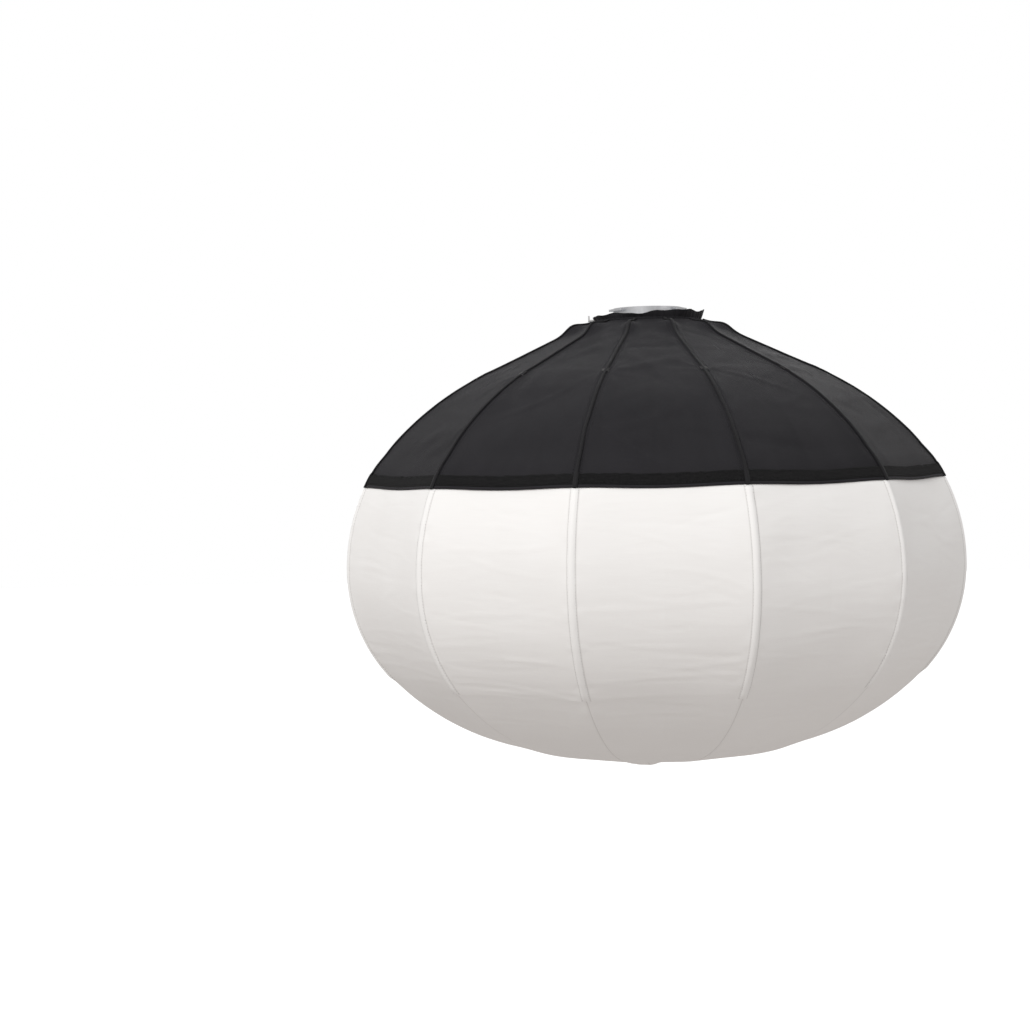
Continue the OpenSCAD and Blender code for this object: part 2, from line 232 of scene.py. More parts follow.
def area_light(name, place, target, size, power, colour=(1, 1, 1)):
    data = bpy.data.lights.new(name, "AREA")
    data.shape = "DISK"
    data.size = size
    data.energy = power
    data.color = colour
    lamp = bpy.data.objects.new(name, data)
    lamp.location = place
    lamp.rotation_mode = "QUATERNION"
    lamp.rotation_quaternion = (Vector(target) - Vector(place)).to_track_quat("-Z", "Y")
    bpy.context.scene.collection.objects.link(lamp)
    return lamp


def light_studio():
    """A big soft light high on the left and in front, a weak one on the right, and a pale room."""
    middle = (0, 0, -0.35)
    area_light("key_light", (-1.5, -2.8, 1.9), middle, 1.8, 62, (1, 0.99, 0.975))
    area_light("top_light", (0.2, 0.3, 2.6), middle, 2.0, 5)
    area_light("fill_light", (2.6, -1.6, 0.2), middle, 1.6, 3, (1, 0.97, 0.95))
    area_light("back_light", (0.5, 3.0, 1.2), middle, 2.0, 14)
    world = bpy.data.worlds.new("pale_room")
    bpy.context.scene.world = world
    world.use_nodes = True
    tree = world.node_tree
    tree.nodes.clear()
    out = tree.nodes.new("ShaderNodeOutputWorld")
    shown = tree.nodes.new("ShaderNodeBackground")
    shown.inputs["Color"].default_value = (1, 1, 1, 1)
    shown.inputs["Strength"].default_value = 1.0
    lit = tree.nodes.new("ShaderNodeBackground")
    lit.inputs["Strength"].default_value = 0.68
    ramp = tree.nodes.new("ShaderNodeValToRGB")
    ramp.color_ramp.elements[0].position = 0.30
    ramp.color_ramp.elements[0].color = (0.78, 0.735, 0.705, 1)
    ramp.color_ramp.elements[1].position = 0.72
    ramp.color_ramp.elements[1].color = (1, 1, 1, 1)
    place = tree.nodes.new("ShaderNodeTexCoord")
    split = tree.nodes.new("ShaderNodeSeparateXYZ")
    lift = tree.nodes.new("ShaderNodeMath")
    lift.operation = "MULTIPLY_ADD"
    lift.inputs[1].default_value = 0.5
    lift.inputs[2].default_value = 0.5
    path = tree.nodes.new("ShaderNodeLightPath")
    pick = tree.nodes.new("ShaderNodeMixShader")
    join = tree.links.new
    join(place.outputs["Generated"], split.inputs[0])
    join(split.outputs["Z"], lift.inputs[0])
    join(lift.outputs[0], ramp.inputs["Fac"])
    join(ramp.outputs["Color"], lit.inputs["Color"])
    join(path.outputs["Is Camera Ray"], pick.inputs["Fac"])
    join(lit.outputs[0], pick.inputs[1])
    join(shown.outputs[0], pick.inputs[2])
    join(pick.outputs[0], out.inputs["Surface"])
    bpy.context.scene.view_settings.view_transform = "Standard"


def lay_floor():
    """A pale floor far enough down for the folded cloth, which leaves the object's light alone."""
    mesh = bpy.data.meshes.new("floor")
    r, z = 14.0, -1.3
    mesh.from_pydata([(-r, -r, z), (r, -r, z), (r, r, z), (-r, r, z)], [], [(0, 1, 2, 3)])
    floor = bpy.data.objects.new("floor", mesh)
    floor.visible_diffuse = False
    floor.visible_glossy = False
    bpy.context.scene.collection.objects.link(floor)
    paint = bpy.data.materials.new("pale_floor")
    paint.use_nodes = True
    shader = paint.node_tree.nodes["Principled BSDF"]
    shader.inputs["Base Color"].default_value = (0.86, 0.86, 0.86, 1)
    shader.inputs["Roughness"].default_value = 0.9
    shader.inputs["Emission Color"].default_value = (1, 1, 1, 1)
    shader.inputs["Emission Strength"].default_value = 0.62
    mesh.materials.append(paint)
    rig.stage(floor)


aim_camera()
light_studio()
lay_floor()


# ---------- shader sums ----------

class Field:
    """A socket on a finish's node tree, so that a sum of fields is written as a sum."""

    def __init__(self, finish, socket):
        self.finish = finish
        self.socket = socket

    def _sum(self, operation, *values, clamp=False):
        return self.finish.node("ShaderNodeMath", {"operation": operation, "use_clamp": clamp},
                                dict(enumerate(values)))

    def __add__(self, other):
        return self._sum("ADD", self, other)

    def __radd__(self, other):
        return self._sum("ADD", other, self)

    def __sub__(self, other):
        return self._sum("SUBTRACT", self, other)

    def __rsub__(self, other):
        return self._sum("SUBTRACT", other, self)

    def __mul__(self, other):
        return self._sum("MULTIPLY", self, other)

    def __rmul__(self, other):
        return self._sum("MULTIPLY", other, self)

    def __truediv__(self, other):
        return self._sum("DIVIDE", self, other)

    def __pow__(self, power):
        return self._sum("POWER", self, power)

    def __abs__(self):
        return self._sum("ABSOLUTE", self)

    def __round__(self):
        return self._sum("ROUND", self)

    def above(self, edge, soft):
        """0 below the edge and 1 above it, with a soft step between."""
        return self._sum("MULTIPLY_ADD", self - edge, 1 / soft, 0.5, clamp=True)

    def wave(self, length):
        """-1 to 1 and back over each length."""
        return self._sum("SINE", self * (2 * math.pi / length))


class Finish:
    """One procedural material with a Principled shader."""

    def __init__(self, name, **constant):
        self.material = bpy.data.materials.new(name)
        self.material.use_nodes = True
        self.tree = self.material.node_tree
        self.shader = self.tree.nodes["Principled BSDF"]
        for socket, value in constant.items():
            self.shader.inputs[socket.replace("_", " ")].default_value = value

    def node(self, kind, settings=None, values=None, out=0):
        made = self.tree.nodes.new(kind)
        for key, value in (settings or {}).items():
            if key == "stops":
                self._stops(made.color_ramp, value)
            else:
                setattr(made, key, value)
        for key, value in (values or {}).items():
            self._feed(made.inputs[key], value)
        return Field(self, made.outputs[out])

    def _stops(self, ramp, stops):
        while len(ramp.elements) < len(stops):
            ramp.elements.new(0.5)
        for element, (place, colour) in zip(ramp.elements, stops):
            element.position = place
            element.color = (*colour, 1)

    def _feed(self, socket, value):
        if isinstance(value, Field):
            self.tree.links.new(value.socket, socket)
        elif isinstance(value, tuple) and len(value) == 3 and socket.type == "RGBA":
            socket.default_value = (*value, 1)
        else:
            socket.default_value = value

    def uv(self):
        """Across and along the cloth, in metres."""
        place = self.node("ShaderNodeUVMap", {"uv_map": "cloth"})
        split = {"Vector": place}
        return (place, self.node("ShaderNodeSeparateXYZ", {}, split, "X"),
                self.node("ShaderNodeSeparateXYZ", {}, split, "Y"))

    def place(self):
        """The point on the object, and its X, Y and Z."""
        spot = self.node("ShaderNodeTexCoord", {}, {}, "Object")
        return (spot, *[self.node("ShaderNodeSeparateXYZ", {}, {"Vector": spot}, axis)
                        for axis in "XYZ"])

    def noise(self, spot, size, detail=3.0, rough=0.55):
        """Even noise from 0 to 1, with blobs of about this size."""
        return self.node("ShaderNodeTexNoise", {}, {"Vector": spot, "Scale": 1 / size,
                                                    "Detail": detail, "Roughness": rough}, "Fac")

    def stretched(self, spot, x, y, z=1.0):
        return self.node("ShaderNodeMapping", {"vector_type": "POINT"},
                         {"Vector": spot, "Scale": (x, y, z)})

    def blend(self, share, low, high):
        """A colour between two colours."""
        return self.node("ShaderNodeMix", {"data_type": "RGBA"},
                         {0: share, 6: low, 7: high}, 2)

    def colour(self, value):
        self._feed(self.shader.inputs["Base Color"], value)

    def rough(self, value):
        self._feed(self.shader.inputs["Roughness"], value)

    def metal(self, value):
        self._feed(self.shader.inputs["Metallic"], value)

    def bump(self, height, depth, strength=1.0):
        """The height is a share of the depth."""
        made = self.node("ShaderNodeBump", {}, {"Height": height, "Distance": depth,
                                                "Strength": strength}, "Normal")
        self._feed(self.shader.inputs["Normal"], made)


# ---------- finishes ----------

def woven(across, along, thread):
    """Over and under threads, from 0 to 1."""
    warp = across.wave(2 * thread)
    weft = along.wave(2 * thread)
    return 0.5 + 0.5 * warp * weft


def black_nylon():
    """Charcoal coated nylon: a fine weave, soft creases, and a little dust where it is handled."""
    f = Finish("black_nylon", Sheen_Weight=0.05, Sheen_Roughness=0.45, Specular_IOR_Level=0.12)
    uv, across, along = f.uv()
    weave = woven(across, along, 0.45 * MM)
    mottle = f.noise(f.stretched(uv, 1.0, 0.45), 60 * MM, 4)
    fold = f.noise(f.stretched(uv, 1.0, 0.3), 22 * MM, 3)
    dust = f.noise(uv, 5 * MM, 5, 0.7).above(0.66, 0.12)
    tone = f.blend(mottle.above(0.5, 0.5), (0.0125, 0.0119, 0.0142), (0.0205, 0.0196, 0.0226))
    f.colour(f.blend(dust * 0.08, tone, (0.10, 0.10, 0.105)))
    f.rough(0.56 + 0.14 * mottle + 0.06 * weave)
    f.bump(0.22 * weave + 0.5 * fold + 0.28 * mottle, 1.3 * MM, 0.5)
    return f.material


def loop_tape():
    """Matt loop tape, a dense pile of tiny loops."""
    f = Finish("loop_tape", Sheen_Weight=0.03, Sheen_Roughness=0.7, Specular_IOR_Level=0.1)
    uv, _, _ = f.uv()
    loops = f.node("ShaderNodeTexVoronoi", {"feature": "F1"}, {"Vector": uv, "Scale": 1 / (0.9 * MM)},
                   "Distance")
    clump = f.noise(uv, 3.5 * MM, 4, 0.65)
    f.colour(f.blend(clump.above(0.5, 0.4), (0.0035, 0.0035, 0.0038), (0.011, 0.0108, 0.0115)))
    f.rough(0.93 + 0.05 * clump)
    f.bump(0.6 * loops + 0.6 * clump, 0.9 * MM, 0.9)
    return f.material


def seam_tape():
    """Ribbed binding tape, a little darker than the cover."""
    f = Finish("seam_tape", Sheen_Weight=0.03, Sheen_Roughness=0.5, Specular_IOR_Level=0.2)
    uv, across, along = f.uv()
    rib = 0.5 + 0.5 * along.wave(1.1 * MM)
    weave = woven(across, along, 0.5 * MM)
    patchy = f.noise(uv, 14 * MM, 4)
    f.colour(f.blend(patchy, (0.007, 0.0068, 0.0078), (0.015, 0.0145, 0.0165)))
    f.rough(0.60 + 0.2 * patchy)
    f.bump(0.6 * rib + 0.4 * weave, 0.25 * MM, 0.8)
    return f.material


def white_diffusion(name, sleeve):
    """White diffusion cloth: a fine weave, slight unevenness and faint creases from packing.

    The cloth is doubled over the sleeve, or only sewn in a thin seam where the sleeve is 0 wide."""
    f = Finish(name, Sheen_Weight=0.08, Sheen_Roughness=0.5, Specular_IOR_Level=0.3)
    uv, across, along = f.uv()
    weave = woven(across, along, 0.4 * MM)
    cloudy = f.noise(uv, 90 * MM, 4)
    fine = f.noise(f.stretched(uv, 0.22, 1.0), 7 * MM, 4, 0.6)
    slub = f.noise(f.stretched(uv, 0.05, 1.0), 1.6 * MM, 2)
    tone = f.blend(cloudy, (0.885, 0.872, 0.860), (0.922, 0.914, 0.906))
    tone = f.blend(slub.above(0.62, 0.3) * 0.14, tone, (0.82, 0.81, 0.795))
    off = abs(across - round(across))
    if sleeve:
        tone = f.blend((1 - off.above(sleeve - 0.7 * MM, 0.5 * MM)) * 0.5, tone, (0.935, 0.93, 0.922))
    # painted shade: a dark line, blended towards (0.60, 0.585, 0.57), along the stitched groove at the sleeve's edge,
    # or along the plain seam where the sleeve is 0 wide
    line = 1 - abs(off - sleeve).above(0.7 * MM, 0.7 * MM)
    f.colour(f.blend(line * 0.45, tone, (0.60, 0.585, 0.57)))
    f.rough(0.62 + 0.15 * cloudy)
    f.bump(0.12 * weave + 0.7 * fine + 0.18 * slub, 1.0 * MM, 0.28)
    return f.material


def thread(name, colour):
    """Twisted sewing thread."""
    f = Finish(name, Sheen_Weight=0.2)
    _, across, along = f.uv()
    twist = (across + along).wave(0.6 * MM)
    shade = 0.5 + 0.5 * twist
    dark = tuple(0.7 * c for c in colour)
    f.colour(f.blend(shade, dark, colour))
    f.rough(0.6 + 0.1 * shade)
    return f.material


def machined_alloy(name, colour, grain=0.5):
    """Turned alloy with faint rings, satin, and brighter where it has been rubbed."""
    f = Finish(name, Anisotropic=0.35)
    spot, x, y, _ = f.place()
    round_ = (x * x + y * y) ** 0.5
    turned = f.node("ShaderNodeTexNoise", {"noise_dimensions": "1D"},
                    {"W": round_, "Scale": 1 / (grain * MM), "Detail": 2.0}, "Fac")
    rubbed = f.noise(spot, 6 * MM, 6, 0.7).above(0.58, 0.2)
    bright = tuple(min(1, 1.25 * c) for c in colour)
    f.colour(f.blend(rubbed * 0.6, colour, bright))
    f.metal(0.92 + 0.08 * rubbed)
    f.rough(0.30 + 0.16 * turned - 0.08 * rubbed)
    f.bump(turned, 0.05 * MM, 0.6)
    return f.material


def bright_steel():
    """Zinc-plated steel with small scratches."""
    f = Finish("bright_steel")
    spot, _, _, _ = f.place()
    scratch = f.noise(f.stretched(spot, 0.08, 1.0, 1.0), 0.7 * MM, 4, 0.7)
    stain = f.noise(spot, 8 * MM, 4)
    f.colour(f.blend(stain, (0.62, 0.62, 0.61), (0.78, 0.78, 0.79)))
    f.metal(0.95 + 0.05 * stain)
    f.rough(0.20 + 0.22 * scratch)
    f.bump(scratch, 0.04 * MM, 0.5)
    return f.material


def moulded_nylon(name, colour):
    """Glass-filled nylon: a fine spark texture and a few scuffs."""
    f = Finish(name)
    spot, _, _, _ = f.place()
    grain = f.noise(spot, 0.5 * MM, 4, 0.65)
    scuff = f.noise(f.stretched(spot, 1.0, 0.25, 1.0), 9 * MM, 6, 0.75).above(0.63, 0.1)
    pale = tuple(2.2 * c + 0.01 for c in colour)
    f.colour(f.blend(scuff * 0.5, colour, pale))
    f.rough(0.46 + 0.2 * grain - 0.08 * scuff)
    f.bump(grain, 0.12 * MM, 0.7)
    return f.material


def rib_finish(arm_reach):
    """Nylon at the knuckle, satin alloy on the straight arm and dark glass fibre on the bow."""
    f = Finish("rib_finish")
    spot, x, y, _ = f.place()
    out = (x * x + y * y) ** 0.5
    arm = out.above(KNUCKLE_REACH, 0.5 * MM) * (1 - out.above(arm_reach, 0.5 * MM))
    brushed = f.noise(f.stretched(spot, 1.0, 1.0, 0.05), 0.5 * MM, 3)
    fibre = f.noise(f.stretched(spot, 1.0, 1.0, 0.1), 0.9 * MM, 4, 0.7)
    dark = f.blend(fibre, (0.010, 0.010, 0.011), (0.028, 0.028, 0.030))
    f.colour(f.blend(arm, dark, (0.60, 0.60, 0.615)))
    f.metal(arm * 0.95)
    f.rough(0.36 + 0.12 * brushed + 0.1 * fibre)
    f.bump(brushed * 0.5 + fibre * 0.5, 0.08 * MM, 0.5)
    return f.material


KNUCKLE_REACH = 97 * MM
BAND_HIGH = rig.box("neck_band")[1]

FINISHES = {
    "nylon": black_nylon(),
    "loops": loop_tape(),
    "tape": seam_tape(),
    "white": white_diffusion("white_diffusion", SLEEVE),
    "underside": white_diffusion("white_underside", 0),
    "white_thread": thread("white_thread", (0.80, 0.79, 0.77)),
    "black_thread": thread("black_thread", (0.020, 0.020, 0.022)),
    "plate": machined_alloy("plate_alloy", (0.50, 0.51, 0.53)),
    "collar": machined_alloy("collar_alloy", (0.60, 0.61, 0.63), 0.8),
    "steel": bright_steel(),
    "hub": moulded_nylon("hub_nylon", (0.016, 0.016, 0.017)),
    "ring": moulded_nylon("ring_nylon", (0.040, 0.041, 0.044)),
    "band": moulded_nylon("band_nylon", (0.012, 0.012, 0.013)),
}


# ---------- outline of a seam, read from the cloth of the first rib ----------

def ridge(node):
    """Radius and height of the vertices of a cloth node that lie on its seam."""
    co = np.array([v.co for v in frame["nodes"][node].data.vertices])
    radius = co[:, 0] * math.cos(HALF) + co[:, 1] * math.sin(HALF)
    across = co[:, 1] * math.cos(HALF) - co[:, 0] * math.sin(HALF)
    return np.column_stack([radius, co[:, 2]])[abs(across) < 0.02 * MM]


def outer_chain(points):
    """The outermost of some points, from the neck down to the axis."""
    points = points[np.lexsort((points[:, 0], -points[:, 1]))]
    chain = []
    for p in points:
        while len(chain) > 1:
            a, b = chain[-2], chain[-1]
            if (b[0] - a[0]) * (p[1] - a[1]) - (b[1] - a[1]) * (p[0] - a[0]) >= -1e-9:
                chain.pop()
            else:
                break
        chain.append(p)
    return np.array(chain)


def smooth(points, step):
    """A Catmull-Rom curve through the points, in even steps of about this length."""
    ends = np.vstack([2 * points[0] - points[1], points, 2 * points[-1] - points[-2]])
    fine = []
    for a, b, c, d in zip(ends, ends[1:], ends[2:], ends[3:]):
        for t in np.arange(0, 1, 0.02):
            fine.append(0.5 * (2 * b + (c - a) * t + (2 * a - 5 * b + 4 * c - d) * t * t
                               + (3 * b - a - 3 * c + d) * t ** 3))
    fine.append(points[-1])
    fine = np.array(fine)
    run = np.concatenate([[0], np.cumsum(np.linalg.norm(np.diff(fine, axis=0), axis=1))])
    even = np.linspace(0, run[-1], int(run[-1] / step) + 1)
    return even, np.column_stack([np.interp(even, run, fine[:, 0]), np.interp(even, run, fine[:, 1])])


def read_outline():
    """Lengths along the seam and the points there. The loop tape, which stands proud, is left out."""
    cover = ridge("cover_panel_01")
    hem_z = cover[:, 1].min() + 0.5 * MM
    cover = cover[cover[:, 1] > hem_z + BAND_WIDTH]
    chain = outer_chain(np.vstack([cover, ridge("diffuser_panel_01"), ridge("diffuser_base_01")]))
    straight = int(np.argmax(np.linalg.norm(np.diff(chain, axis=0), axis=1)))
    a, b = chain[straight], chain[straight + 1]
    between = [a + (b - a) * k / 8 for k in range(1, 8)]
    chain = np.vstack([chain[:straight + 1], between, chain[straight + 1:]])
    apart = np.linalg.norm(np.diff(chain, axis=0), axis=1) > 2 * MM
    chain = chain[np.concatenate([[True], apart])]
    return (*smooth(chain, MM), np.linalg.norm(b - a), hem_z)


ALONG, OUTLINE, KINK, HEM_Z = read_outline()


def radius_at(along):
    return np.interp(along, ALONG, OUTLINE[:, 0])


def height_at(along):
    return np.interp(along, ALONG, OUTLINE[:, 1])


def along_at(height):
    return float(np.interp(-height, -OUTLINE[:, 1], ALONG))


def along_reach(radius):
    """How far along the top of the seam has this radius."""
    widest = int(np.argmax(OUTLINE[:, 0]))
    return float(np.interp(radius, OUTLINE[:widest, 0], ALONG[:widest]))


HEM = along_at(HEM_Z)
TIP = along_at(float(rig.box("diffuser_panel_01")[0].z) + 0.4 * MM)
WIDEST = float(ALONG[int(np.argmax(OUTLINE[:, 0]))])
END = float(ALONG[-1])
NECK_END = along_reach(120 * MM)
BAND_TOP = HEM - BAND_WIDTH


# ---------- the skin ----------

def step_up(value, low, high):
    t = np.clip((value - low) / (high - low), 0, 1)
    return t * t * (3 - 2 * t)


def half_width(along):
    """From a seam to the middle of the gore beside it."""
    return radius_at(along) * math.sin(HALF)


def columns(along, count, near):
    """Places across half a gore: close together beside the seam, wider towards the middle."""
    share = np.arange(count + 1) / count
    full = half_width(along)[:, None]
    close = np.minimum(near * count, full)
    return close * share + (full - close) * share ** 2


def cloth_points(along, across):
    """Points of the bare gores in the frame of a rib, and the outward direction at each."""
    r = radius_at(along)[:, None]
    z = np.broadcast_to(height_at(along)[:, None], across.shape)
    side = np.sign(across)
    x = r - abs(across) * math.sin(HALF)
    y = across * math.cos(HALF)
    dr = np.interp(along, ALONG, np.gradient(OUTLINE[:, 0], ALONG))[:, None] * math.cos(HALF)
    dz = np.interp(along, ALONG, np.gradient(OUTLINE[:, 1], ALONG))[:, None]
    long = np.hypot(dr, dz)
    turn = side * HALF * step_up(abs(across), 0, 9 * MM)
    flat = -dz / long
    out = np.stack([flat * np.cos(turn), flat * np.sin(turn),
                    np.broadcast_to(dr / long, across.shape)], axis=-1)
    return np.stack([x, y, z], axis=-1), out


def turned(points, rib):
    """From the frame of a rib to the frame of the object."""
    a = HALF + rib * PITCH
    c, s = math.cos(a), math.sin(a)
    x, y, z = points[..., 0], points[..., 1], points[..., 2]
    return np.stack([c * x - s * y, s * x + c * y, z], axis=-1)


def in_gore(along, across):
    """Which gore a point beside a rib is in, and its place across that gore from its middle."""
    full = half_width(along)[:, None]
    right = across >= 0
    return right, np.where(right, across - full, across + full)


class Creases:
    """Soft ridges drawn at random for one gore, each with a place, slope, length and height."""

    def __init__(self, seed, count, along, reach, length, width, height, slope, bend=0.0):
        draw = np.random.default_rng(seed)
        self.folds = [(
            draw.uniform(*along), draw.uniform(-1, 1), draw.normal(0, slope),
            draw.uniform(*length), draw.uniform(*width),
            draw.uniform(*height) * draw.choice([-1, 1], p=[0.3, 0.7]), draw.normal(0, bend),
        ) for _ in range(count)]
        self.reach = reach

    def __call__(self, along, mid):
        """Height of the cloth at places along and across the gore."""
        total = np.zeros(mid.shape)
        rows = along[:, None]
        wide = half_width(along)[:, None]
        for place, side, slope, length, width, height, bend in self.folds:
            centre = side * self.reach * float(half_width(place))
            a = (mid - centre) * math.cos(slope) + (rows - place) * math.sin(slope)
            b = (rows - place) * math.cos(slope) - (mid - centre) * math.sin(slope)
            b = (b + bend * a * a / length) / width
            fade = np.exp(-(a / length) ** 2)
            total += height * fade * (1 - 0.7 * b * b) * np.exp(-0.75 * b * b)
        return total * step_up(wide - abs(mid), 3 * MM, 18 * MM)


def soft_swell(seed, along, mid, size, height):
    """Slow rise and fall of slack cloth."""
    draw = np.random.default_rng(seed)
    total = np.zeros(mid.shape)
    for _ in range(7):
        angle, phase = draw.uniform(-0.5, 0.5), draw.uniform(0, 2 * math.pi)
        length = size * draw.uniform(0.7, 1.6)
        total += np.sin(2 * math.pi * (along[:, None] * math.cos(angle) + mid * math.sin(angle))
                        / length + phase)
    wide = half_width(along)[:, None]
    return height * total / 3 * step_up(wide - abs(mid), 0, 40 * MM)


def puckers(seed, along, across):
    """Small gathers that a row of stitches pulls into the cloth beside it."""
    draw = np.random.default_rng(seed)
    beat = np.interp(along, np.arange(0, END + 0.01, 0.008),
                     draw.normal(0, 1, len(np.arange(0, END + 0.01, 0.008))))
    near = np.exp(-((abs(across) - 9 * MM) / (6 * MM)) ** 2)
    return beat[:, None] * near


WHITE_CREASES, BLACK_CREASES = [], []
for g in range(RIBS):
    low = Creases(SEED + g, 34, (WIDEST + 20 * MM, TIP + 75 * MM), 0.8, (30 * MM, 120 * MM),
                  (1.8 * MM, 4.2 * MM), (0.12 * MM, 0.48 * MM), 0.07, 0.08)
    high = Creases(SEED + 40 + g, 22, (HEM + 4 * MM, WIDEST + 30 * MM), 0.8, (20 * MM, 80 * MM),
                   (2.0 * MM, 4.6 * MM), (0.10 * MM, 0.42 * MM), 0.18, 0.12)
    WHITE_CREASES.append((low, high))
    BLACK_CREASES.append(Creases(SEED + 80 + g, 16, (0.04, HEM - 30 * MM), 0.85,
                                 (25 * MM, 90 * MM), (6 * MM, 16 * MM), (0.3 * MM, 1.0 * MM),
                                 0.8, 0.1))


def white_height(along, across, rib):
    """The diffuser's relief between its seams: creases, slack and gathers."""
    right, mid = in_gore(along, across)
    total = np.zeros(across.shape)
    for gore, here in ((rib % RIBS, right), ((rib - 1) % RIBS, ~right)):
        low, high = WHITE_CREASES[gore]
        relief = low(along, mid) + high(along, mid) + soft_swell(gore, along, mid, 0.11, 0.5 * MM)
        total = np.where(here, relief, total)
    wide = half_width(along)[:, None]
    total -= 2.2 * MM * step_up(wide - abs(mid), 0, 0.7 * wide) * step_up(wide, 30 * MM, 90 * MM)
    return total + 0.25 * MM * puckers(SEED + rib, along, across) * (wide > 20 * MM)


def sleeve_height(along, across):
    """A flat sleeve with a stitched line down each side as far as the rod's tip, then a plain seam."""
    off = abs(across)
    sleeve = 1 - step_up(along, TIP - 10 * MM, TIP + 6 * MM)[:, None]
    inside = 1 - step_up(off, SLEEVE - 1.6 * MM, SLEEVE)
    groove = np.exp(-((off - SLEEVE) / (0.9 * MM)) ** 2)
    plain = np.exp(-(off / (1.5 * MM)) ** 2)
    return (sleeve * (1.3 * MM * inside - 0.9 * MM * groove)
            - (1 - sleeve) * 1.3 * MM * plain)


def black_height(along, across, rib):
    """The cover's relief: broad creases, spokes from the kink, root bumps and the sewn seam."""
    right, mid = in_gore(along, across)
    total = np.zeros(across.shape)
    for gore, here in ((rib % RIBS, right), ((rib - 1) % RIBS, ~right)):
        relief = BLACK_CREASES[gore](along, mid)
        relief += soft_swell(gore + 30, along, mid, 0.16, 1.0 * MM)
        total = np.where(here, relief, total)
    off = abs(across)
    total += kink_spokes(along, across, rib)
    rows = along[:, None]
    size = np.random.default_rng(SEED + 60 + rib).uniform(6.0, 9.0) * MM
    total += size * np.exp(-((rows - 33 * MM) / (17 * MM)) ** 2 - (across / (12 * MM)) ** 2)
    total += 0.5 * MM * np.exp(-(across / (5 * MM)) ** 2) * (1 - step_up(rows, KINK, KINK + 20 * MM))
    total -= 0.9 * MM * np.exp(-((off - 3.2 * MM) / (1.5 * MM)) ** 2)
    total -= 2.5 * MM * step_up(rows, NECK_END, KINK) * (1 - step_up(rows, HEM - 0.06, HEM - 0.025))
    return total + 0.25 * MM * puckers(SEED + 90 + rib, along, across)


def kink_spokes(along, across, rib):
    """Short folds that spread from the tack where the arm meets the bow."""
    draw = np.random.default_rng(SEED + 300 + rib)
    rows = along[:, None] - KINK
    away = np.hypot(rows, across)
    bearing = np.arctan2(across, rows)
    total = np.zeros(across.shape)
    for k in range(9):
        turn = -math.pi + 2 * math.pi * (k + draw.uniform(-0.3, 0.3)) / 9
        gap = np.angle(np.exp(1j * (bearing - turn)))
        size = draw.uniform(0.5, 1.3) * MM
        total += size * np.exp(-(gap / 0.16) ** 2) * np.exp(-away / (38 * MM)) * step_up(
            away, 3 * MM, 14 * MM)
    return total


def skin_grid(along, count, near, rib, relief, scallop=None):
    """Points and smooth normals of one rib's cloth, from mid gore to mid gore."""
    half = columns(along, count, near)
    extra = 2 * half[:, -1:] - half[:, -2:-1]
    across = np.hstack([-extra, -half[:, :0:-1], half, extra])
    bare, out = cloth_points(along, across)
    points = bare + out * relief(along, across, rib)[..., None]
    if scallop is not None:
        points[..., 2] -= scallop(along, across)
    points = turned(points, rib)
    normal = np.cross(np.gradient(points, axis=0), np.gradient(points, axis=1))
    normal /= np.maximum(np.linalg.norm(normal, axis=-1, keepdims=True), 1e-12)
    return points[:, 1:-1], normal[:, 1:-1], across[:, 1:-1]


# ---------- meshes ----------

